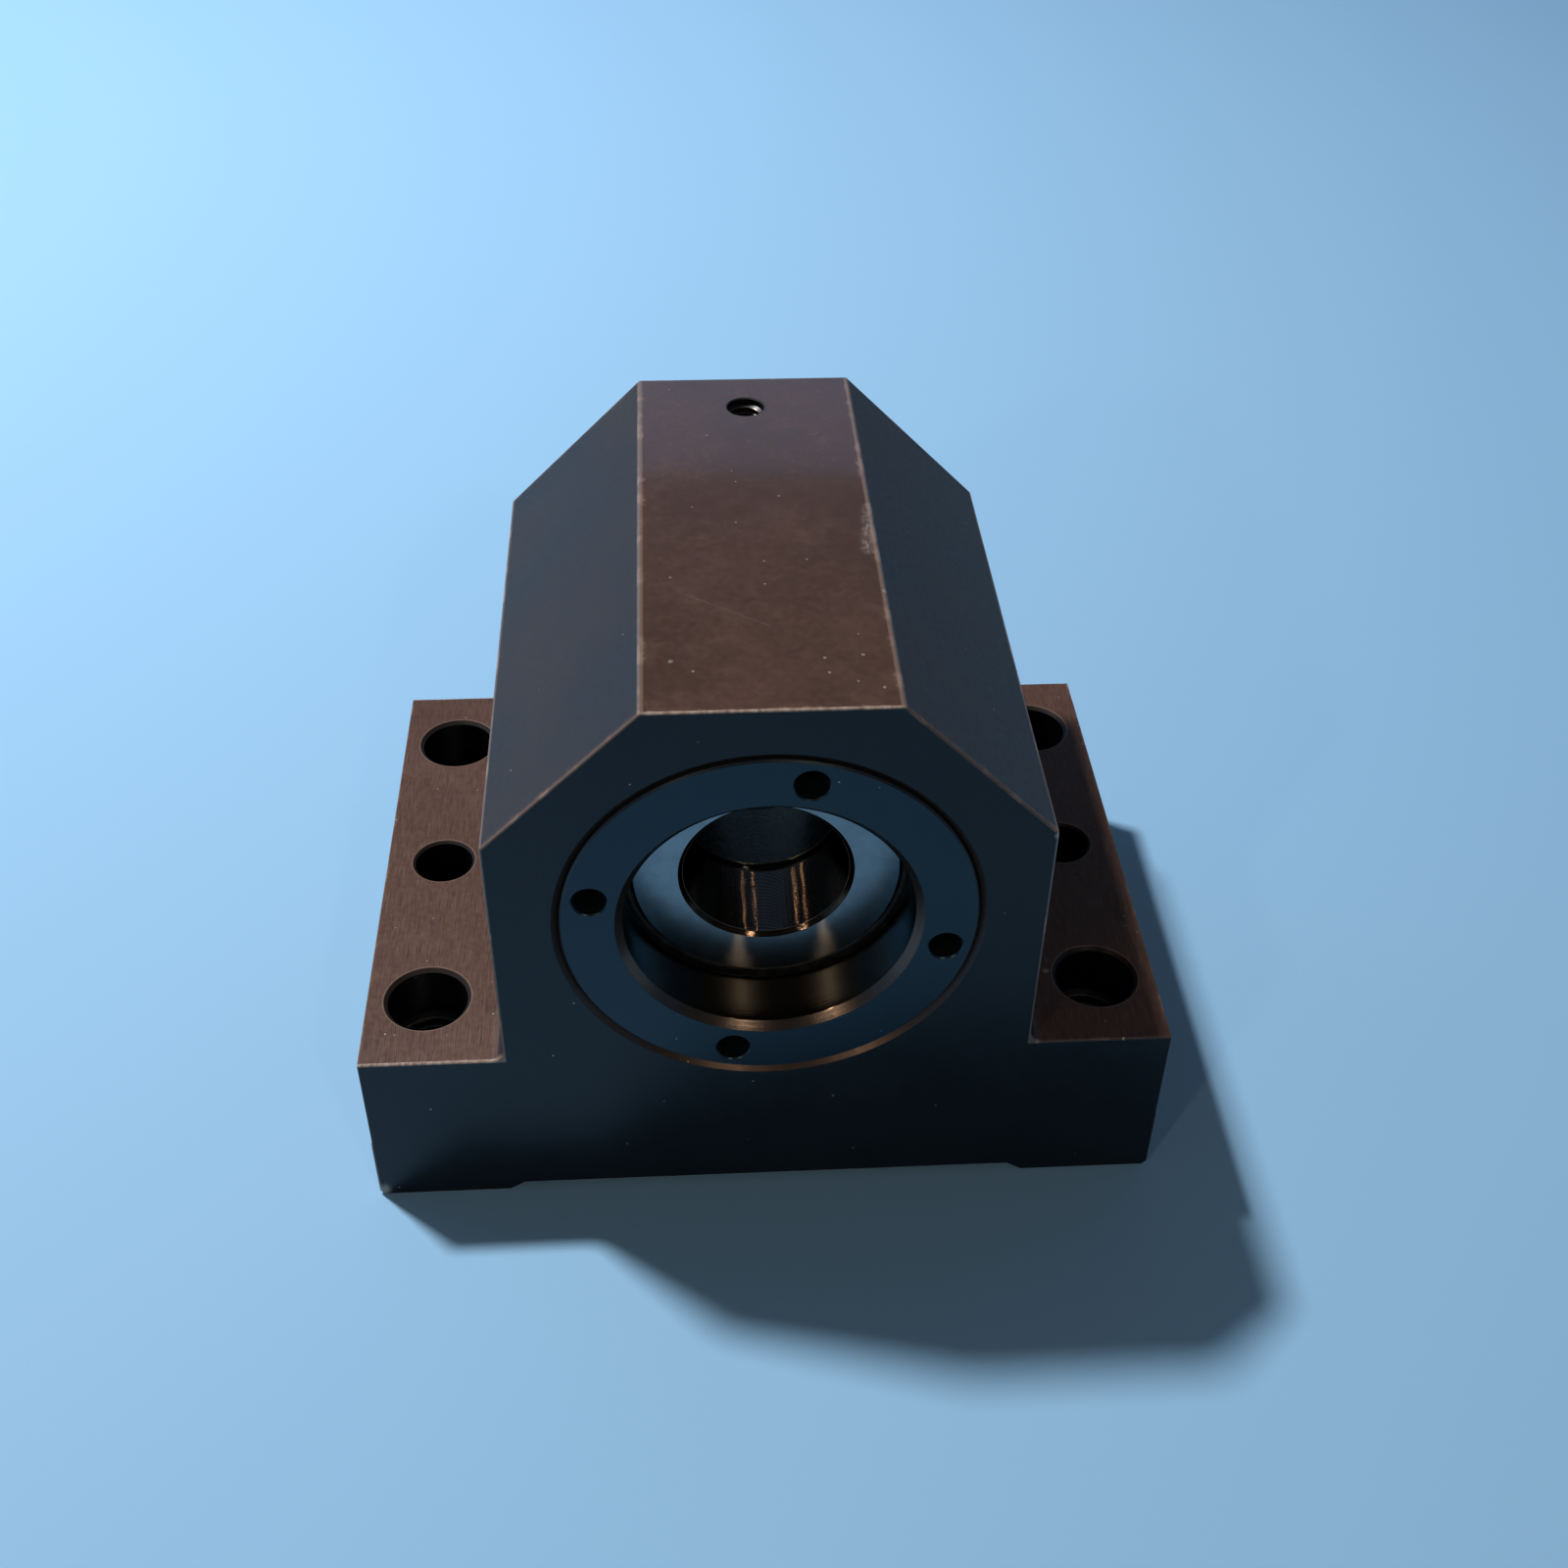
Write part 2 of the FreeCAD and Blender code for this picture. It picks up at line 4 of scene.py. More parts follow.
import bpy
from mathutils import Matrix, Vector


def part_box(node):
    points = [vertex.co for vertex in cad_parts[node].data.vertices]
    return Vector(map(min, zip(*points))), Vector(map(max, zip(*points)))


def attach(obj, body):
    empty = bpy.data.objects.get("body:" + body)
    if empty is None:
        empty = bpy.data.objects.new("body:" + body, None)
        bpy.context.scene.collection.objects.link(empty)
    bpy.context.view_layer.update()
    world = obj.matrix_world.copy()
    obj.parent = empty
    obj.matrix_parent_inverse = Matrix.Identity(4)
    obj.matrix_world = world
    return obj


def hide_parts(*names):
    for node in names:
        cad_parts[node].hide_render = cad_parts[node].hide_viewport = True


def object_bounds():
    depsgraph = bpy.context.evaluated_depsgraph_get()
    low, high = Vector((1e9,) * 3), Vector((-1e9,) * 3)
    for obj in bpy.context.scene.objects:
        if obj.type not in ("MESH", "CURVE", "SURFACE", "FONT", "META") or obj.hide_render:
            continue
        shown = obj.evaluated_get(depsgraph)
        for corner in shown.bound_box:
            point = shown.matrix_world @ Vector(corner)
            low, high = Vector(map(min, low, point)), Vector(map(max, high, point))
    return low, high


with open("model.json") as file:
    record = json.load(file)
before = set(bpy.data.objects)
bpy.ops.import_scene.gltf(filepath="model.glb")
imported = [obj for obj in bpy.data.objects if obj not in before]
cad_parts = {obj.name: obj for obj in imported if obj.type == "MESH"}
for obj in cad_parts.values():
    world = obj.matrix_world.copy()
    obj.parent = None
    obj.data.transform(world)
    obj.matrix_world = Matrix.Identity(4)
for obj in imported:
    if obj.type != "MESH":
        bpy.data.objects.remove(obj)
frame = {"nodes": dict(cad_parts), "record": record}
cad_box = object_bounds()
nodes = frame["nodes"]
mounts = {mount["name"]: mount for mount in frame["record"]["mounts"]}

# Housing: one block of steel, milled to a foot with two flanges and a body with cut-off corners,
# then bored and drilled. A hot oxide bath has blackened it all over, and grinding and handling have
# turned its level faces brown and rubbed its edges down to bare metal. It is bolted by its foot.
METRES_TO_MM = 1000.0
MM = 0.001
HALF_DEPTH = cad_box[1][1] * METRES_TO_MM
HALF_FOOT = cad_box[1][0] * METRES_TO_MM
ROOF_HEIGHT = cad_box[1][2] * METRES_TO_MM
FOOT_HEIGHT = 31.0
HALF_BODY = 40.5
HALF_ROOF = 17.5
EDGE_ROUNDING = 0.4
AXIS_HEIGHT = mounts["shaft_bore"]["pos_m"][2] * METRES_TO_MM
BOLT_X = mounts["bolt_holes"]["dims"]["spacing_x_mm"] / 2
BOLT_Y = mounts["bolt_holes"]["dims"]["spacing_y_mm"] / 2
BOLT_RADIUS = mounts["bolt_holes"]["dims"]["hole_r_mm"]
BOLT_CHAMFER = 0.65
DOWEL_RADIUS = mounts["dowel_holes"]["dims"]["hole_r_mm"]
DOWEL_CHAMFER = 0.5
PORT_Y = mounts["lubrication_port"]["pos_m"][1] * METRES_TO_MM
PORT_RADIUS = mounts["lubrication_port"]["dims"]["r_mm"]
PORT_CHAMFER = 0.2
BORE_MOUTH_RADIUS = 31.6

OXIDE_BROWN = (0.057, 0.028, 0.0175, 1.0)
OXIDE_BROWN_LIGHT = (0.122, 0.060, 0.042, 1.0)
OXIDE_GROOVE = (0.034, 0.017, 0.012, 1.0)
OXIDE_SHOULDER = (0.028, 0.016, 0.0115, 1.0)
OXIDE_BLUE_BLACK = (0.0040, 0.0060, 0.0085, 1.0)
OXIDE_BLUE_LIGHT = (0.0070, 0.0095, 0.0125, 1.0)
HOLE_SHADE_BLACK = (0.0030, 0.0034, 0.0045, 1.0)
RIM_BROWN = (0.026, 0.017, 0.013, 1.0)
DUST = (0.170, 0.105, 0.078, 1.0)
RUBBED_STEEL = (0.300, 0.195, 0.145, 1.0)
COPPER_WEAR = (0.150, 0.080, 0.054, 1.0)
SILL_STEEL_AND_HIGHLIGHT = (0.520, 0.380, 0.300, 1.0)
MOUTH_LIT_BROWN = (0.090, 0.055, 0.040, 1.0)
BARE_METAL = (0.560, 0.480, 0.410, 1.0)


class Wire:
    """An output of a finish's nodes: sums on it add Math nodes, and node() adds any other node."""

    def __init__(self, tree, socket):
        self.tree = tree
        self.socket = socket

    def node(self, kind, settings, sockets, output=0):
        made = self.tree.nodes.new(kind)
        for name, value in settings.items():
            setattr(made, name, value)
        for name, value in sockets.items():
            if isinstance(value, Wire):
                self.tree.links.new(value.socket, made.inputs[name])
            else:
                made.inputs[name].default_value = value
        return Wire(self.tree, made.outputs[output])

    def math(self, operation, first, second=0.0):
        return self.node("ShaderNodeMath", {"operation": operation}, {0: first, 1: second})

    def __add__(self, other):
        return self.math("ADD", self, other)

    def __radd__(self, other):
        return self.math("ADD", other, self)

    def __sub__(self, other):
        return self.math("SUBTRACT", self, other)

    def __rsub__(self, other):
        return self.math("SUBTRACT", other, self)

    def __mul__(self, other):
        return self.math("MULTIPLY", self, other)

    def __rmul__(self, other):
        return self.math("MULTIPLY", other, self)

    def __truediv__(self, other):
        return self.math("DIVIDE", self, other)

    def __abs__(self):
        return self.math("ABSOLUTE", self)


def new_finish(name):
    """A material of the part, and the place on the part in millimetres."""
    material = bpy.data.materials.new(name)
    material.use_nodes = True
    tree = material.node_tree
    in_metres = Wire(tree, tree.nodes.new("ShaderNodeTexCoord").outputs["Object"])
    place = in_metres.node(
        "ShaderNodeVectorMath", {"operation": "SCALE"}, {0: in_metres, "Scale": METRES_TO_MM}
    )
    return material, place


def shade(material, **looks):
    """Sets the shader's sockets, named with underscores, to plain values or to wires."""
    shader = material.node_tree.nodes["Principled BSDF"]
    for name, value in looks.items():
        socket = shader.inputs[name.replace("_", " ")]
        if isinstance(value, Wire):
            material.node_tree.links.new(value.socket, socket)
        else:
            socket.default_value = value


def axes(vector):
    """The three parts of a vector."""
    return [
        vector.node("ShaderNodeSeparateXYZ", {}, {0: vector}, output) for output in range(3)
    ]


def least(first, second):
    return first.math("MINIMUM", first, second)


def most(first, second):
    return first.math("MAXIMUM", first, second)


def span(first, second):
    """The distance that two legs at right angles make."""
    return first.math("SQRT", first * first + second * second)


def fade(value, start, end):
    """A mask that goes smoothly from 0 at the start to 1 at the end."""
    sockets = {"Value": value, "From Min": start, "From Max": end}
    return value.node("ShaderNodeMapRange", {"interpolation_type": "SMOOTHSTEP"}, sockets)


def mix(mask, first, second):
    """The first colour where the mask is 0, and the second where it is 1."""
    return mask.node(
        "ShaderNodeMix", {"data_type": "RGBA"}, {0: mask, 6: first, 7: second}, output=2
    )


def stretched(place, scales):
    return place.node("ShaderNodeVectorMath", {"operation": "MULTIPLY"}, {0: place, 1: scales})


def clouds(place, scale, detail=3.0):
    """Noise from about 0.25 to 0.75 that changes over 1/scale millimetres."""
    return place.node(
        "ShaderNodeTexNoise", {}, {"Vector": place, "Scale": scale, "Detail": detail}
    )


def specks(place, scale, size, share):
    """A mask of scattered dots; size is in cells, share the part of the cells that has one."""
    sockets = {"Vector": place, "Scale": scale}
    distance = place.node("ShaderNodeTexVoronoi", {}, sockets, output=0)
    chance = axes(place.node("ShaderNodeTexVoronoi", {}, sockets, output=1))[0]
    return fade(distance, size, size * 0.5) * fade(chance, share, share - 0.02)


def relief(height, depth_mm):
    """A surface normal from a height; the depth is what a height of 1 stands for."""
    return height.node(
        "ShaderNodeBump", {}, {"Height": height, "Strength": 1.0, "Distance": depth_mm * MM}
    )


def near_line(place, start, end):
    """The distance from a straight mark between two points."""
    run = Vector(end) - Vector(start)
    from_start = place.node(
        "ShaderNodeVectorMath", {"operation": "SUBTRACT"}, {0: place, 1: start}
    )
    along = from_start.node(
        "ShaderNodeVectorMath",
        {"operation": "DOT_PRODUCT"},
        {0: from_start, 1: run.normalized()},
        output=1,
    )
    held = most(least(along, run.length), 0.0)
    foot = held.node(
        "ShaderNodeVectorMath", {"operation": "SCALE"}, {0: run.normalized(), "Scale": held}
    )
    return foot.node("ShaderNodeVectorMath", {"operation": "DISTANCE"}, {0: from_start, 1: foot}, 1)


def near_point(place, point):
    return place.node("ShaderNodeVectorMath", {"operation": "DISTANCE"}, {0: place, 1: point}, 1)


def housing_edge(x, y, z):
    """The distance in millimetres from the block's nearest outer edge."""
    across = abs(x)
    roof = ROOF_HEIGHT - z
    shoulder = (HALF_ROOF + ROOF_HEIGHT - across - z) * math.sqrt(0.5)
    wall = HALF_BODY - across
    ledge = FOOT_HEIGHT - z
    flank = HALF_FOOT - across
    body = least(least(roof, shoulder), wall)
    foot = least(least(ledge, flank), z)
    outline = most(most(body, foot), HALF_DEPTH - abs(y))
    upper = most(least(roof, shoulder), least(most(roof, shoulder), wall))
    lower = least(most(ledge, flank), most(z, flank))
    return least(outline, least(upper, lower))


def hole_wall(reach, radius, margin, depth, start, end):
    """The mask of a hole's wall, with a margin round it, that begins between two depths."""
    return fade(reach, radius + margin, radius + margin - 0.2) * fade(depth, start, end)


def hole_rim(reach, radius, depth):
    """The mask of a hole's chamfer, out to the radius at its top."""
    return fade(reach, radius + 0.1, radius) * fade(abs(depth), 1.0, 0.8)


def hole_lip(reach, radius, depth):
    """The mask of the thin line where a hole's chamfer meets the level face."""
    return fade(abs(reach - radius), 0.16, 0.04) * fade(abs(depth), 0.3, 0.2)


def housing_holes(x, y, z):
    """Masks of the holes' walls, their chamfers and lips, and of the bore's mouth."""
    bolt = span(abs(x) - BOLT_X, abs(y) - BOLT_Y)
    dowel = span(abs(x) - BOLT_X, y)
    port = span(x, y - PORT_Y)
    under_foot = FOOT_HEIGHT - z
    under_roof = ROOF_HEIGHT - z
    in_bolt = hole_wall(bolt, BOLT_RADIUS, 1.0, under_foot, 0.5, 0.75)
    in_dowel = hole_wall(dowel, DOWEL_RADIUS, 0.4, under_foot, 0.4, 0.6)
    in_port = hole_wall(port, PORT_RADIUS, 0.3, under_roof, 0.1, 0.25)
    in_port = in_port * fade(z, AXIS_HEIGHT, AXIS_HEIGHT + 5.0)
    walls = most(most(in_bolt, in_dowel), in_port)
    bolt_rim = hole_rim(bolt, BOLT_RADIUS + BOLT_CHAMFER, under_foot)
    dowel_rim = hole_rim(dowel, DOWEL_RADIUS + DOWEL_CHAMFER, under_foot)
    port_rim = hole_rim(port, PORT_RADIUS + PORT_CHAMFER, under_roof)
    rims = most(most(bolt_rim, dowel_rim), port_rim)
    bolt_lip = hole_lip(bolt, BOLT_RADIUS + BOLT_CHAMFER, under_foot)
    dowel_lip = hole_lip(dowel, DOWEL_RADIUS + DOWEL_CHAMFER, under_foot)
    bore = span(x, z - AXIS_HEIGHT)
    bore_mouth = fade(bore, BORE_MOUTH_RADIUS, BORE_MOUTH_RADIUS - 0.05)
    bore_mouth = bore_mouth * fade(y + HALF_DEPTH, 2.0, 1.5)
    return walls, rims, most(bolt_lip, dowel_lip), bore_mouth


ROOF_SCUFF = ((17.3, 4.2, ROOF_HEIGHT), (15.9, -8.2, ROOF_HEIGHT))
ROOF_SCUFF_WIDTH = 1.3
ROOF_SCUFF_STRETCH = (3.0, 0.45, 1.0)
# Each fleck's place and size
FLECKS = (
    ((-13.3, -34.8, ROOF_HEIGHT), 0.50),
    ((-10.3, -37.2, ROOF_HEIGHT), 0.30),
    ((7.7, -34.8, ROOF_HEIGHT), 0.30),
    ((8.1, -38.2, ROOF_HEIGHT), 0.28),
    ((11.8, -40.3, ROOF_HEIGHT), 0.26),
    ((13.0, -34.3, ROOF_HEIGHT), 0.24),
    ((15.2, -41.8, ROOF_HEIGHT), 0.34),
    ((12.8, -29.4, ROOF_HEIGHT), 0.24),
    ((17.5, -18.9, ROOF_HEIGHT), 0.50),
    ((40.4, -46.0, 73.4), 0.80),
    ((45.5, -31.0, FOOT_HEIGHT), 0.70),
    ((10.2, -HALF_DEPTH, 20.2), 0.30),
)
ROOF_SCRATCH = ((-10.9, -18.8, ROOF_HEIGHT), (1.2, -27.3, ROOF_HEIGHT))
ROOF_SCRATCH_WIDTH = 0.14
STRUCK_CORNER = (-62.6, -HALF_DEPTH, 1.0)
STRUCK_CORNER_SIZE = 2.2


def housing_flecks(place, broken):
    """A mask of the single marks that the block has picked up."""
    scratch = near_line(place, *ROOF_SCRATCH) + abs(broken) * 0.2
    marks = fade(scratch, ROOF_SCRATCH_WIDTH, 0.0) * 0.10
    for point, size in FLECKS:
        marks = most(marks, fade(near_point(place, point) + broken * 0.5, size, size * 0.4) * 0.45)
    streaks = clouds(stretched(place, ROOF_SCUFF_STRETCH), 1.0, 4.0)
    scuff = near_line(place, *ROOF_SCUFF) + (streaks - 0.5) * 2.0
    rough_patch = fade(streaks + broken * 0.6, 0.44, 0.70) * 0.38
    marks = most(marks, fade(scuff, ROOF_SCUFF_WIDTH, 0.3) * (0.06 + rough_patch))
    struck = near_point(place, STRUCK_CORNER) + broken * 2.0
    return most(marks, fade(struck, STRUCK_CORNER_SIZE, 0.5) * 0.5)


LEVEL_FROM_TO = (0.80, 0.95)
SLOPE_FROM_TO = (0.40, 0.60)
CLOUD_SCALE = 0.045
MOTTLE_SCALE = 0.9
GRIT_SCALE = 4.0
BLOT_SCALE = 0.22
GRAIN_STRETCH = (6.5, 0.16, 1.0)
HAIR_STRETCH = (14.0, 0.30, 1.0)
CHIP_STRETCH = (0.9, 0.0, 0.0)
SILL_SPECK_STRETCH = (1.0, 0.0, 0.0)
# Scale, size and share of each kind of specks
SILL_SPECKS = (0.8, 0.20, 0.50)
BLOCK_SPECKS = (0.30, 0.06, 0.30)
FOOT_SPECKS = (0.55, 0.07, 0.40)
OXIDE_ROUGHNESS = 0.36
ROOF_POLISH = 0.12
FOOT_POLISH = 0.04
SHOULDER_DULLNESS = 0.16
OXIDE_SPECULAR = 0.32
OXIDE_SHEEN = (0.80, 0.92, 1.0, 1.0)
OXIDE_RELIEF = 0.010
ROOF_OIL_ROUGHNESS = 0.06
ROOF_OIL_IOR = 1.75


def black_oxide_block():
    """Blue-black oxide that is brown on level faces, with worn edges and the marks of use, and with
    painted highlights on the sills and the bore's lower mouth and painted shade in the holes and on
    the right flange's edges.
    """
    material, place = new_finish("black_oxide_block")
    x, y, z = axes(place)
    facing_up = axes(place.node("ShaderNodeTexCoord", {}, {}, output="Normal"))[2]
    bore = span(x, z - AXIS_HEIGHT)
    outside = fade(bore, BORE_MOUTH_RADIUS + 0.5, BORE_MOUTH_RADIUS + 1.0)
    outside = outside * fade(z, FOOT_HEIGHT - 3.0, FOOT_HEIGHT - 2.0)
    upward = fade(facing_up, *LEVEL_FROM_TO) * outside
    sloping = fade(facing_up, *SLOPE_FROM_TO) * outside
    on_foot = upward * fade(z, FOOT_HEIGHT + 2.0, FOOT_HEIGHT + 0.5)
    on_roof = upward * fade(z, ROOF_HEIGHT - 2.0, ROOF_HEIGHT - 1.0)
    on_shoulder = sloping * (1 - upward)
    broad = clouds(place, CLOUD_SCALE)
    fine = clouds(place, MOTTLE_SCALE, 5.0)
    grit = clouds(place, GRIT_SCALE, 2.0)
    broken = (fine - 0.5) + (grit - 0.5) * 0.6

    # The oxide itself: brown on the level faces, with grinding grain on the foot, dark brown on
    # the shoulders and blue-black elsewhere
    grain = clouds(stretched(place, GRAIN_STRETCH), 1.0, 3.0)
    hair = clouds(stretched(place, HAIR_STRETCH), 1.0, 2.0)
    ground = grain * 0.5 + hair * 0.5
    cloudy = fade(broad * 0.6 + fine * 0.4, 0.34, 0.68)
    brown = mix(cloudy * 0.40 + on_foot * 0.45, OXIDE_BROWN, OXIDE_BROWN_LIGHT)
    brown = mix(on_foot * fade(ground, 0.50, 0.40) * 0.65, brown, OXIDE_GROOVE)
    cool = mix(cloudy, OXIDE_BLUE_BLACK, OXIDE_BLUE_LIGHT)
    cool = mix(sloping * (0.4 + cloudy * 0.6), cool, OXIDE_SHOULDER)
    colour = mix(upward, cool, brown)

    # Holes, their chamfers and the bore's mouth, with painted shade on the holes' walls and a
    # painted highlight on the mouth's lower part
    walls, rims, lips, bore_mouth = housing_holes(x, y, z)
    # The lower part of the mouth's chamfer, which faces up to the lamps, is painted a lighter brown
    # as a painted highlight
    lit_low_mouth = bore_mouth * fade(z, AXIS_HEIGHT - 8.0, AXIS_HEIGHT - 28.0)
    colour = mix(rims, colour, RIM_BROWN)
    colour = mix(bore_mouth, colour, RIM_BROWN)
    colour = mix(lit_low_mouth, colour, MOUTH_LIT_BROWN)
    # The holes' walls are painted near-black as painted shade
    colour = mix(walls, colour, HOLE_SHADE_BLACK)
    colour = mix(lips * 0.6, colour, RUBBED_STEEL)

    # Dust in the grain and on the roof, more of it toward the front
    toward_front = fade(y, HALF_DEPTH, -HALF_DEPTH)
    dashes = on_foot * fade(ground, 0.55, 0.65) * (0.35 + toward_front * 0.60)
    dusty = on_roof * fade(clouds(place, BLOT_SCALE, 6.0), 0.50, 0.74)
    dusty = dusty * (0.06 + toward_front * 0.11)
    colour = mix(most(dashes, dusty), colour, DUST)

    # Edges rubbed down to metal, most along the roof and the foot, where the sills also carry a
    # painted highlight; on the right flange they are kept dark as painted shade of the body's
    # shadow
    edge = housing_edge(x, y, z)
    blots = fade(clouds(place, BLOT_SCALE, 3.0), 0.50, 0.64)
    beside_body = fade(abs(x), HALF_BODY + 1.0, HALF_BODY + 0.5)
    sill = least(abs(z - ROOF_HEIGHT), abs(z - FOOT_HEIGHT) + beside_body * EDGE_ROUNDING * 2)
    sill = most(sill, HALF_DEPTH - abs(y))
    line = fade(edge + broken * 0.10, EDGE_ROUNDING + 0.04, EDGE_ROUNDING * 0.6)
    # The right flange lies in the body's shadow; its edges are left mostly unrubbed as painted
    # shade
    shaded_right_flange = fade(x, HALF_BODY, HALF_BODY + 2.0)
    rubbed = line * (0.45 + 0.40 * blots) * (1 - shaded_right_flange * 0.8)
    spread = fade(edge + broken * 1.4, EDGE_ROUNDING + 0.3, 0.1)
    rubbed = most(rubbed, blots * upward * spread * 0.7)
    band = on_shoulder * fade(HALF_DEPTH - abs(y) + broken * 1.6, 1.3, 0.3)
    colour = mix(band * (0.35 + 0.65 * blots), colour, COPPER_WEAR)
    colour = mix(rubbed, colour, RUBBED_STEEL)
    # The front and rear edges of the roof and the foot are worn, and are painted brighter than the
    # wear as a painted highlight of the lamp along the rounded edge
    worn_and_lit_sill = fade(sill + broken * 0.16, EDGE_ROUNDING + 0.02, EDGE_ROUNDING * 0.5)
    worn_and_lit_sill = worn_and_lit_sill * (1 - shaded_right_flange * 0.95)
    chipped = fade(clouds(stretched(place, CHIP_STRETCH), 1.0, 3.0), 0.36, 0.62)
    colour = mix(worn_and_lit_sill * (0.20 + chipped * 0.80), colour, SILL_STEEL_AND_HIGHLIGHT)

    # Bare specks along the edges and over the faces, and the single marks
    along_sill = specks(stretched(place, SILL_SPECK_STRETCH), *SILL_SPECKS)
    bright = along_sill * fade(sill, EDGE_ROUNDING, EDGE_ROUNDING * 0.5)
    bright = most(bright, specks(place, *BLOCK_SPECKS) * 0.6)
    bright = most(bright, on_foot * specks(place, *FOOT_SPECKS) * 0.8)
    bright = most(bright, housing_flecks(place, broken))
    colour = mix(bright, colour, BARE_METAL)

    roughness = OXIDE_ROUGHNESS + (fine - 0.5) * 0.20 + (broad - 0.5) * 0.10
    roughness = roughness - on_roof * ROOF_POLISH - on_foot * FOOT_POLISH
    height = (fine * 0.30 + grit * 0.20) * (1 - on_roof * 0.6)
    height = height + on_foot * (grain * 2.5 + hair * 1.5) - rubbed * 0.4 - bright * 0.6
    bare_mouth = most(lit_low_mouth * 0.8, rims * (1 - walls) * 0.3)
    shade(
        material,
        Base_Color=colour,
        Metallic=most(most(rubbed * 0.15, bright * 0.5), bare_mouth),
        Roughness=roughness + on_shoulder * SHOULDER_DULLNESS,
        Coat_Weight=on_roof * (1.0 - cloudy * 0.15) * (1 - bright),
        Coat_Roughness=ROOF_OIL_ROUGHNESS,
        Coat_IOR=ROOF_OIL_IOR,
        Specular_IOR_Level=OXIDE_SPECULAR,
        Specular_Tint=OXIDE_SHEEN,
        Normal=relief(height, OXIDE_RELIEF),
    )
    return material


def wear_finish(material, *names):
    """Gives CAD nodes a finish in place of their plain one."""
    for name in names:
        nodes[name].data.materials.clear()
        nodes[name].data.materials.append(material)


wear_finish(black_oxide_block(), "housing")

# Threads: the bolt holes and the lubrication port are tapped after drilling, so each has a helical
# ridge cut from the block's own steel. The oxide is thin on the crests, which glint in the holes.
BOLT_THREAD_RADIUS = mounts["bolt_threads"]["dims"]["hole_r_mm"]
BOLT_THREAD_PITCH = 2.0
BOLT_THREAD_LOW = 0.9
BOLT_THREAD_HIGH = 22.4
PORT_THREAD_PITCH = 1.0
PORT_THREAD_LOW = 89.1
PORT_THREAD_HIGH = 96.7
RIDGE_DEPTH_SHARE = 0.5413
RIDGE_ROOT_SHARE = 0.875
RIDGE_CREST_SHARE = 0.25
RIDGE_SUNK = 0.03
RIDGE_STEPS = 56
RIDGE_TAPER_STEPS = 14
RIDGE_END_SHARE = 0.06
RIDGE_SMOOTH_ANGLE = math.radians(25)


def profile_loop(name, points):
    """A closed loop of edges through points in millimetres, to be swept into a piece."""
    bpy.ops.object.select_all(action="DESELECT")
    bpy.ops.mesh.primitive_circle_add(vertices=len(points), fill_type="NOTHING")
    loop = bpy.context.object
    loop.name = name
    for vertex, point in zip(loop.data.vertices, points):
        vertex.co = Vector(point) * MM
    return loop


def thread_ridge(name, centre, radius, pitch, low, high):
    """A helical ridge that stands inwards from a tapped hole's wall, in millimetres."""
    root = radius + RIDGE_SUNK
    crest = radius - pitch * RIDGE_DEPTH_SHARE
    half_root = pitch * RIDGE_ROOT_SHARE / 2
    half_crest = pitch * RIDGE_CREST_SHARE / 2
    turns = int((high - low - 2 * half_root) / pitch)
    start = high - half_root - turns * pitch
    profile = ((root, -half_root), (crest, -half_crest), (crest, half_crest), (root, half_root))
    ridge = profile_loop(name, [(across, 0.0, start + up) for across, up in profile])
    screw = ridge.modifiers.new("helix", "SCREW")
    screw.axis = "Z"
    screw.angle = math.tau
    screw.screw_offset = pitch * MM
    screw.iterations = turns
    screw.steps = RIDGE_STEPS
    screw.render_steps = RIDGE_STEPS
    screw.use_normal_calculate = True
    bpy.ops.object.modifier_apply(modifier=screw.name)
    taper_ridge(ridge, root * MM, turns * RIDGE_STEPS, len(profile))
    ridge.location = Vector((centre[0], centre[1], 0.0)) * MM
    bpy.ops.object.transform_apply(location=True)
    bpy.ops.object.mode_set(mode="EDIT")
    bpy.ops.mesh.select_all(action="SELECT")
    bpy.ops.mesh.fill_holes(sides=len(profile))
    bpy.ops.mesh.normals_make_consistent(inside=False)
    bpy.ops.object.mode_set(mode="OBJECT")
    bpy.ops.object.shade_smooth_by_angle(angle=RIDGE_SMOOTH_ANGLE)
    return ridge


def taper_ridge(ridge, root, last_step, row):
    """Lets the ridge run out into the wall over a part of a turn at both of its ends."""
    for number, vertex in enumerate(ridge.data.vertices):
        step = number // row
        from_end = min(step, last_step - step)
        if from_end >= RIDGE_TAPER_STEPS:
            continue
        reach = math.hypot(vertex.co.x, vertex.co.y)
        kept = RIDGE_END_SHARE + (1 - RIDGE_END_SHARE) * from_end / RIDGE_TAPER_STEPS
        grown = (root - (root - reach) * kept) / reach
        vertex.co.x *= grown
        vertex.co.y *= grown


THREAD_ROOT = (0.006, 0.006, 0.007, 1.0)
THREAD_CREST = (0.190, 0.160, 0.138, 1.0)
THREAD_MOTTLE_SCALE = 1.6
THREAD_ROUGHNESS = 0.40
THREAD_RELIEF = 0.01
TAP_MARK_STRETCH = (1.0, 1.0, 6.0)


def black_oxide_thread(name, hole_radius, crest_radius, centre):
    """Dark flanks and rubbed crests, by the distance from the hole's own axis."""
    material, place = new_finish(name)
    x, y = axes(place)[:2]
    reach = span(abs(x) - centre[0], abs(y) - centre[1])
    fine = clouds(place, THREAD_MOTTLE_SCALE, 4.0)
    tap_marks = clouds(stretched(place, TAP_MARK_STRETCH), 1.0, 2.0)
    crest_foot = crest_radius * 0.75 + hole_radius * 0.25
    crest = fade(reach + (fine - 0.5) * 0.25, crest_foot, crest_radius)
    shade(
        material,
        Base_Color=mix(crest, THREAD_ROOT, THREAD_CREST),
        Metallic=0.25 + crest * 0.6,
        Roughness=THREAD_ROUGHNESS - crest * 0.10 + (fine - 0.5) * 0.2,
        Normal=relief(tap_marks, THREAD_RELIEF),
    )
    return material


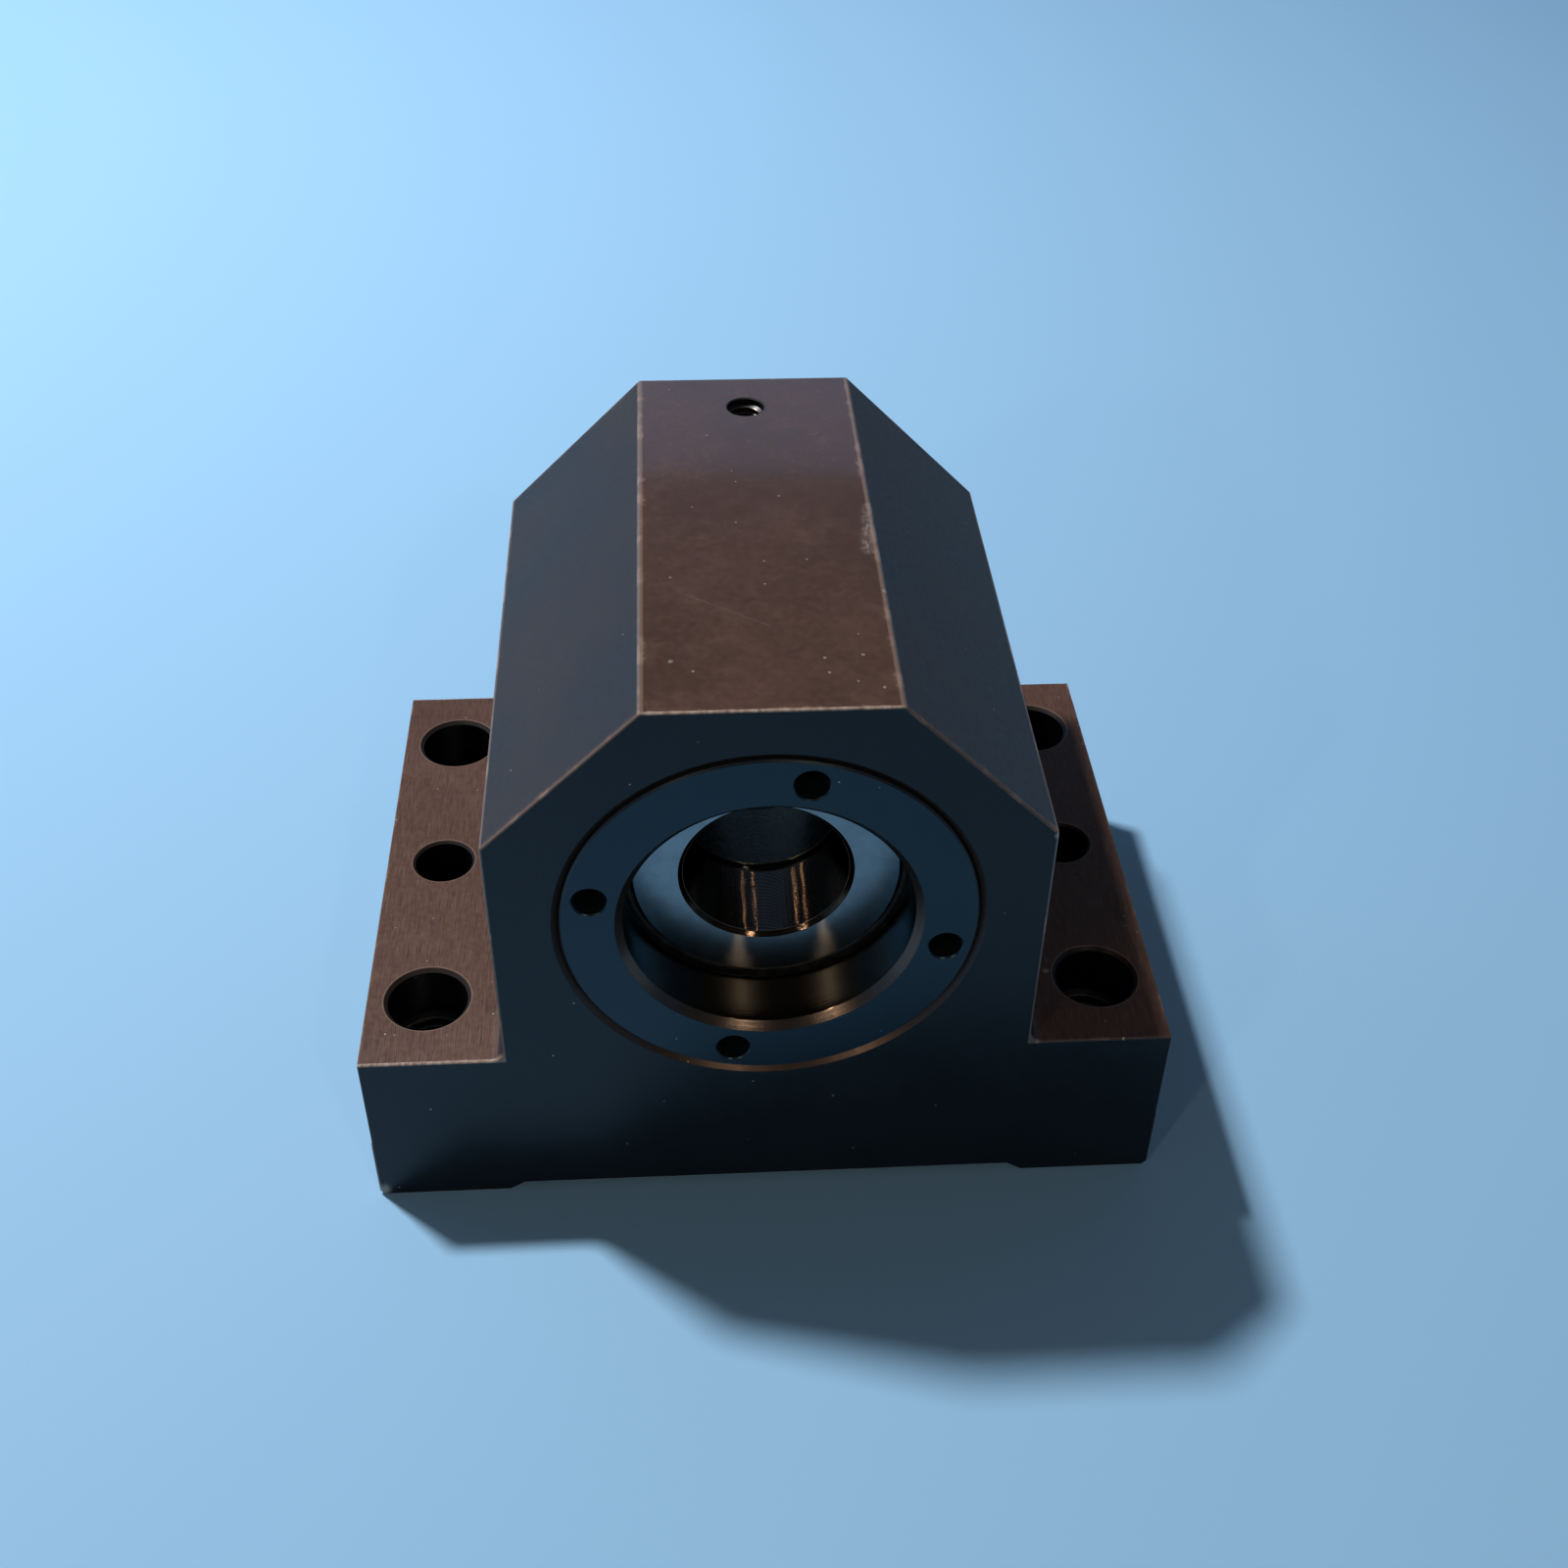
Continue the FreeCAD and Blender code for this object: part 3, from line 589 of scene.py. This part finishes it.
bolt_crest = BOLT_THREAD_RADIUS - BOLT_THREAD_PITCH * RIDGE_DEPTH_SHARE
bolt_thread_finish = black_oxide_thread(
    "bolt_thread", BOLT_THREAD_RADIUS, bolt_crest, (BOLT_X, BOLT_Y)
)
for side, side_name in ((-1, "left"), (1, "right")):
    for end, end_name in ((-1, "front"), (1, "rear")):
        ridge = thread_ridge(
            f"{side_name}_{end_name}_bolt_thread",
            (side * BOLT_X, end * BOLT_Y),
            BOLT_THREAD_RADIUS,
            BOLT_THREAD_PITCH,
            BOLT_THREAD_LOW,
            BOLT_THREAD_HIGH,
        )
        ridge.data.materials.append(bolt_thread_finish)
        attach(ridge, "block")

port_crest = PORT_RADIUS - PORT_THREAD_PITCH * RIDGE_DEPTH_SHARE
port_thread = thread_ridge(
    "port_thread", (0.0, PORT_Y), PORT_RADIUS, PORT_THREAD_PITCH, PORT_THREAD_LOW, PORT_THREAD_HIGH
)
port_thread.data.materials.append(
    black_oxide_thread("port_thread", PORT_RADIUS, port_crest, (0.0, PORT_Y))
)
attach(port_thread, "block")

# Bearing rings: a pair of ball bearings stands side by side in the block's seat. Their rings are
# hardened steel, the faces ground in circles and the bores honed, and left bright under a film of
# oil, thickest in the rear bore. The inner rings meet in a chamfered joint and take the shaft.
BEARING_STEEL = (0.240, 0.285, 0.310, 1.0)
BEARING_STEEL_DULL = (0.200, 0.235, 0.255, 1.0)
BEARING_SHEEN = (0.65, 0.63, 0.67, 1.0)
BEARING_ROUGHNESS = 0.30
BORE_STEEL = (0.088, 0.056, 0.036, 1.0)
BORE_OILED = (0.062, 0.040, 0.026, 1.0)
REAR_BORE_OIL = (0.105, 0.092, 0.070, 1.0)
JOINT_SHADE = (0.010, 0.010, 0.011, 1.0)
GRINDING_SCALE = 12.0
HONING_PITCH = 0.32
HONING_DEPTH = 0.064
HONING_POLISH = 0.225
SHAFT_RADIUS = mounts["shaft_bore"]["dims"]["r_mm"]
BORE_CHAMFER = 0.7
PAIR_JOINT = mounts["shaft_bore"]["pos_m"][1] * METRES_TO_MM
JOINT_HALF_WIDTH = 1.0


def round_the_axis(place):
    """Distance from the shaft's axis, place along it, and the direction round it as a vector."""
    x, y, z = axes(place)
    up = z - AXIS_HEIGHT
    reach = span(x, up)
    round_it = place.node("ShaderNodeCombineXYZ", {}, {0: x / reach, 1: up / reach})
    return reach, y, round_it


def turning_lines(place, reach, along, scale):
    """The fine rings that a turning or grinding tool leaves round the axis."""
    turned = place.node("ShaderNodeCombineXYZ", {}, {0: reach, 1: along})
    return clouds(turned, scale, 2.0)


def ground_steel():
    """Ground faces, and honed bores that are brown from oil and dark in the joint."""
    material, place = new_finish("bearing_steel")
    reach, along, round_it = round_the_axis(place)
    in_bore = fade(reach, SHAFT_RADIUS + 0.15, SHAFT_RADIUS + 0.05)
    at_edge = fade(reach, SHAFT_RADIUS + BORE_CHAMFER + 0.05, SHAFT_RADIUS + BORE_CHAMFER)
    in_joint = fade(abs(along - PAIR_JOINT), JOINT_HALF_WIDTH + 0.05, JOINT_HALF_WIDTH - 0.05)
    in_joint = in_joint * fade(reach, SHAFT_RADIUS + 0.03, SHAFT_RADIUS + 0.08)
    lines = turning_lines(place, reach, along, GRINDING_SCALE)
    oily = at_edge * fade(along, PAIR_JOINT - 0.1, PAIR_JOINT + 0.1) * (1 - in_joint)
    honing = along.math("SINE", along * (math.tau / HONING_PITCH)) * (1 - oily * 0.85)
    rays = clouds(round_it, 4.0, 4.0)
    fine = clouds(place, 0.5, 3.0)
    face = mix(fade(rays * 0.5 + fine * 0.5, 0.36, 0.66), BEARING_STEEL, BEARING_STEEL_DULL)
    bore = mix(fade(rays, 0.40, 0.60), BORE_STEEL, BORE_OILED)
    bore = mix(oily, bore, REAR_BORE_OIL)
    scored = (lines - 0.5) * (0.10 - at_edge * 0.08) + (fine - 0.5) * 0.04
    shade(
        material,
        Base_Color=mix(in_joint, mix(at_edge, face, bore), JOINT_SHADE),
        Metallic=1.0,
        Roughness=BEARING_ROUGHNESS - at_edge * HONING_POLISH + oily * 0.20 + scored,
        Specular_Tint=BEARING_SHEEN,
        Normal=relief(lines * (0.11 - in_bore * 0.08) + honing * in_bore, HONING_DEPTH),
    )
    return material


wear_finish(
    ground_steel(), "front_outer_ring", "rear_outer_ring", "front_inner_ring", "rear_inner_ring"
)

# Balls and cages: each bearing has eighteen polished chrome-steel balls, held apart by a cage
# moulded from glass-filled polyamide. The balls run in the raceways, and the cage rides on them.
BALL_STEEL = (0.720, 0.730, 0.740, 1.0)
BALL_TRACK = (0.560, 0.540, 0.510, 1.0)
BALL_ROUGHNESS = 0.07
BALL_RELIEF = 0.001
LAPPING_STRETCH = (1.0, 6.0, 1.0)
CAGE_POLYAMIDE = (0.520, 0.440, 0.300, 1.0)
CAGE_FIBRE = (0.640, 0.580, 0.440, 1.0)
CAGE_ROUGHNESS = 0.46
CAGE_RELIEF = 0.01
FIBRE_STRETCH = (2.0, 9.0, 2.0)


def polished_ball_steel():
    """Polished steel with a faint haze where the balls have run."""
    material, place = new_finish("ball_steel")
    haze = clouds(place, 0.35, 4.0)
    lapping = clouds(stretched(place, LAPPING_STRETCH), 1.0, 3.0)
    shade(
        material,
        Base_Color=mix(fade(haze, 0.40, 0.68), BALL_STEEL, BALL_TRACK),
        Metallic=1.0,
        Roughness=BALL_ROUGHNESS + haze * 0.10,
        Normal=relief(lapping, BALL_RELIEF),
    )
    return material


def cage_polyamide():
    """Cream-coloured plastic with its glass fibres showing round the axis."""
    material, place = new_finish("cage_polyamide")
    fibres = clouds(stretched(place, FIBRE_STRETCH), 1.0, 3.0)
    cloudy = clouds(place, 0.3, 3.0)
    shade(
        material,
        Base_Color=mix(fade(fibres * 0.6 + cloudy * 0.4, 0.38, 0.64), CAGE_POLYAMIDE, CAGE_FIBRE),
        Roughness=CAGE_ROUGHNESS + (fibres - 0.5) * 0.3,
        Normal=relief(fibres, CAGE_RELIEF),
    )
    return material


balls = [name for name in nodes if "_ball_" in name]
wear_finish(polished_ball_steel(), *balls)
wear_finish(cage_polyamide(), "front_cage", "rear_cage")

# Seals: black nitrile rubber moulded on a steel stiffener, with a bead at the rim that is snapped
# into the outer ring, a groove that lets it flex, and a lip that runs just clear of the inner ring.
RUBBER = (0.010, 0.010, 0.011, 1.0)
RUBBER_DUSTY = (0.030, 0.028, 0.026, 1.0)
RUBBER_ROUGHNESS = 0.52
RUBBER_RELIEF = 0.02
SEAL_LIP = 20.32
SEAL_RIM = 23.69
SEAL_DEPTH = 1.5
SEAL_STEPS = 160
SEAL_MERGE_DISTANCE = 0.001
SEAL_SMOOTH_ANGLE = math.radians(40)
SEAL_PROFILE = (
    (SEAL_LIP, 0.55),
    (SEAL_LIP, 0.90),
    (SEAL_LIP + 0.60, SEAL_DEPTH),
    (SEAL_RIM, SEAL_DEPTH),
    (SEAL_RIM, 0.35),
    (SEAL_RIM - 0.20, 0.10),
    (SEAL_RIM - 0.55, 0.0),
    (SEAL_RIM - 0.85, 0.12),
    (SEAL_RIM - 1.05, 0.40),
    (SEAL_LIP + 1.35, 0.40),
    (SEAL_LIP + 1.15, 0.12),
    (SEAL_LIP + 0.85, 0.0),
    (SEAL_LIP + 0.40, 0.06),
)


def moulded_seal(name, face, inwards):
    """A seal whose profile of radius and depth is turned round the axis from its outer face."""
    points = [(reach, face + inwards * depth, 0.0) for reach, depth in SEAL_PROFILE]
    seal = profile_loop(name, points)
    screw = seal.modifiers.new("turn", "SCREW")
    screw.axis = "Y"
    screw.angle = math.tau
    screw.steps = SEAL_STEPS
    screw.render_steps = SEAL_STEPS
    screw.use_merge_vertices = True
    bpy.ops.object.modifier_apply(modifier=screw.name)
    seal.location = (0.0, 0.0, AXIS_HEIGHT * MM)
    bpy.ops.object.transform_apply(location=True)
    bpy.ops.object.mode_set(mode="EDIT")
    bpy.ops.mesh.select_all(action="SELECT")
    bpy.ops.mesh.remove_doubles(threshold=SEAL_MERGE_DISTANCE * MM)
    bpy.ops.mesh.normals_make_consistent(inside=False)
    bpy.ops.object.mode_set(mode="OBJECT")
    bpy.ops.object.shade_smooth_by_angle(angle=SEAL_SMOOTH_ANGLE)
    return seal


def seal_rubber():
    """Black rubber with a little dust on it and rings from the mould."""
    material, place = new_finish("seal_rubber")
    reach = round_the_axis(place)[0]
    dust = clouds(place, 0.6, 5.0)
    mould_lines = clouds(place.node("ShaderNodeCombineXYZ", {}, {0: reach}), 4.0, 2.0)
    shade(
        material,
        Base_Color=mix(fade(dust, 0.45, 0.70), RUBBER, RUBBER_DUSTY),
        Roughness=RUBBER_ROUGHNESS + (dust - 0.5) * 0.3,
        Normal=relief(mould_lines + dust * 0.5, RUBBER_RELIEF),
    )
    return material


seal_finish = seal_rubber()
for row, corner, inwards in (("front", 0, 1), ("rear", 1, -1)):
    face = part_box(f"{row}_seal")[corner][1] * METRES_TO_MM
    seal = moulded_seal(f"{row}_moulded_seal", face, inwards)
    seal.data.materials.append(seal_finish)
    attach(seal, "block")
    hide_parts(f"{row}_seal")

# Threaded ring: turned from steel bar, screwed into the block's mouth with a pin spanner until it
# clamps the bearings' outer rings. Its smooth face has come blue out of the oxide bath, and in the
# chamfered bore the oxide is thin and brown over the turning lines.
RING_BLUE = (0.0030, 0.0090, 0.0170, 1.0)
RING_BLUE_LIGHT = (0.0050, 0.0130, 0.0240, 1.0)
RING_BORE_BROWN = (0.084, 0.057, 0.041, 1.0)
RING_CHAMFER_BROWN = (0.120, 0.080, 0.060, 1.0)
RING_SHEEN = (0.55, 0.85, 1.0, 1.0)
RING_ROUGHNESS = 0.32
RING_RELIEF = 0.035
RING_TURNING_SCALE = 8.0
RING_SPECKS = (0.35, 0.06, 0.25)
RING_BORE_RADIUS = 21.305
RING_BORE_CHAMFER = 1.2
RING_CHAMFER_RADIUS = RING_BORE_RADIUS + RING_BORE_CHAMFER
RING_OUTER_RADIUS = 30.45
RING_EDGE = 0.3
RING_FACE_RADIUS = RING_OUTER_RADIUS - RING_EDGE


def black_oxide_ring():
    """Blue oxide on the face, thin and brown in the chamfer and the bore, with painted shade in the
    holes.
    """
    material, place = new_finish("black_oxide_ring")
    reach, along, round_it = round_the_axis(place)
    behind_face = along + HALF_DEPTH
    lines = turning_lines(place, reach, along, RING_TURNING_SCALE)
    rays = clouds(round_it, 5.0, 4.0)
    broad = clouds(place, 0.06)
    fine = clouds(place, 1.1, 4.0)
    colour = mix(fade(broad * 0.6 + fine * 0.4, 0.36, 0.68), RING_BLUE, RING_BLUE_LIGHT)

    beside_face = fade(behind_face, 0.02, 0.06)
    rim = fade(reach, RING_FACE_RADIUS - 0.06, RING_FACE_RADIUS) * beside_face
    in_bore = fade(reach, RING_BORE_RADIUS + 0.04, RING_BORE_RADIUS + 0.02)
    in_chamfer = fade(reach, RING_CHAMFER_RADIUS, RING_CHAMFER_RADIUS - 0.04)
    in_chamfer = in_chamfer * beside_face * (1 - in_bore)
    in_hole = beside_face * (1 - rim) * (1 - in_chamfer) * (1 - in_bore)
    in_hole = in_hole * fade(behind_face, 0.15, 0.30)
    colour = mix(in_chamfer * (0.75 + rays * 0.25), colour, RING_CHAMFER_BROWN)
    colour = mix(in_bore, colour, RING_BORE_BROWN)
    colour = mix(rim * 0.08, colour, RUBBED_STEEL)
    # The spanner holes are painted near-black as painted shade
    colour = mix(in_hole, colour, HOLE_SHADE_BLACK)
    bright = specks(place, *RING_SPECKS) * (1 - in_hole) * 0.6
    colour = mix(bright, colour, BARE_METAL)

    roughness = RING_ROUGHNESS + (fine - 0.5) * 0.12 + in_hole * 0.3
    turned = lines * (0.10 + in_bore * 0.25 + in_chamfer * 0.60)
    shade(
        material,
        Base_Color=colour,
        Metallic=most(most(in_bore * 0.95, in_chamfer * 0.85), rim * 0.2),
        Roughness=roughness - in_bore * 0.24 - in_chamfer * 0.08,
        Specular_Tint=RING_SHEEN,
        Normal=relief(turned + fine * 0.03, RING_RELIEF),
    )
    return material


wear_finish(black_oxide_ring(), "threaded_ring")

# Stage: a plain pale blue paper floor that turns up into a round wall, high behind and low in
# front, a lamp above and behind on the left, two weak warm ones in front, and the camera where
# the block was looked at.
PAPER_BLUE = (0.275, 0.485, 0.700, 1.0)
PAPER_ROUGHNESS = 0.75
PAPER_SPECULAR = 0.2
FLOOR_RADIUS = 1.2
WALL_RADIUS = 1.5
WALL_HEIGHT_BEHIND = 0.96
WALL_HEIGHT_IN_FRONT = 0.42
WALL_STEPS = 96
COVE_STEPS = 10
COVE_SMOOTH_ANGLE = math.radians(30)
# Each lamp's name, place, point it is aimed at, width in metres, power in watts and colour
LAMPS = (
    ("key_lamp", (-0.47, 0.34, 1.05), (-0.47, 0.50, 0.0), 0.12, 18.0, (1.0, 1.0, 1.0)),
    ("front_left_lamp", (-0.54, -0.78, 0.55), (0.0, 0.0, 0.05), 0.05, 0.78, (1.0, 0.84, 0.62)),
    ("front_right_lamp", (0.29, -0.78, 0.72), (0.0, 0.0, 0.05), 0.05, 0.70, (1.0, 0.84, 0.62)),
)
WORLD_COLOUR = (0.46, 0.58, 0.70, 1.0)
WORLD_STRENGTH = 0.095
CAMERA_PLACE = (-0.01207, -0.24033, 0.24569)
CAMERA_TURN = (50.33, -0.74, -3.42)
CAMERA_LENS = 42.81
CAMERA_SENSOR = 36.0
CAMERA_CLIP_START = 0.01

bpy.ops.object.select_all(action="DESELECT")
bpy.ops.mesh.primitive_circle_add(vertices=WALL_STEPS, radius=FLOOR_RADIUS, fill_type="NGON")
floor = bpy.context.object
floor.name = "floor"
bpy.ops.object.mode_set(mode="EDIT")
bpy.ops.mesh.select_all(action="SELECT")
bpy.ops.mesh.region_to_loop()
cove = WALL_RADIUS - FLOOR_RADIUS
for step in range(1, COVE_STEPS + 1):
    before = math.radians(90) * (step - 1) / COVE_STEPS
    after = math.radians(90) * step / COVE_STEPS
    grown = (FLOOR_RADIUS + cove * math.sin(after)) / (FLOOR_RADIUS + cove * math.sin(before))
    rise = cove * (math.cos(before) - math.cos(after))
    bpy.ops.mesh.extrude_edges_move(TRANSFORM_OT_translate={"value": (0.0, 0.0, rise)})
    bpy.ops.transform.resize(value=(grown, grown, 1.0), center_override=(0.0, 0.0, 0.0))
bpy.ops.mesh.extrude_edges_move(
    TRANSFORM_OT_translate={"value": (0.0, 0.0, WALL_HEIGHT_BEHIND - cove)}
)
bpy.ops.object.mode_set(mode="OBJECT")
for vertex in floor.data.vertices:
    if vertex.co.z > WALL_HEIGHT_IN_FRONT and vertex.co.y < 0.0:
        vertex.co.z = WALL_HEIGHT_IN_FRONT
bpy.ops.object.shade_smooth_by_angle(angle=COVE_SMOOTH_ANGLE)
paper = bpy.data.materials.new("floor_paper")
paper.use_nodes = True
shade(
    paper,
    Base_Color=PAPER_BLUE,
    Roughness=PAPER_ROUGHNESS,
    Specular_IOR_Level=PAPER_SPECULAR,
)
floor.data.materials.append(paper)

for name, place, aim, width, power, colour in LAMPS:
    lamp_data = bpy.data.lights.new(name, "AREA")
    lamp_data.shape = "DISK"
    lamp_data.size = width
    lamp_data.energy = power
    lamp_data.color = colour
    lamp = bpy.data.objects.new(name, lamp_data)
    lamp.location = place
    lamp.rotation_euler = (Vector(aim) - Vector(place)).to_track_quat("-Z", "Y").to_euler()
    bpy.context.scene.collection.objects.link(lamp)

world = bpy.data.worlds.new("studio")
world.use_nodes = True
world.node_tree.nodes["Background"].inputs["Color"].default_value = WORLD_COLOUR
world.node_tree.nodes["Background"].inputs["Strength"].default_value = WORLD_STRENGTH
bpy.context.scene.world = world

camera_data = bpy.data.cameras.new("camera")
camera_data.lens = CAMERA_LENS
camera_data.sensor_width = CAMERA_SENSOR
camera_data.clip_start = CAMERA_CLIP_START
camera = bpy.data.objects.new("camera", camera_data)
camera.location = CAMERA_PLACE
camera.rotation_euler = [math.radians(angle) for angle in CAMERA_TURN]
bpy.context.scene.collection.objects.link(camera)
bpy.context.scene.camera = camera
bpy.context.scene.view_settings.view_transform = "Standard"
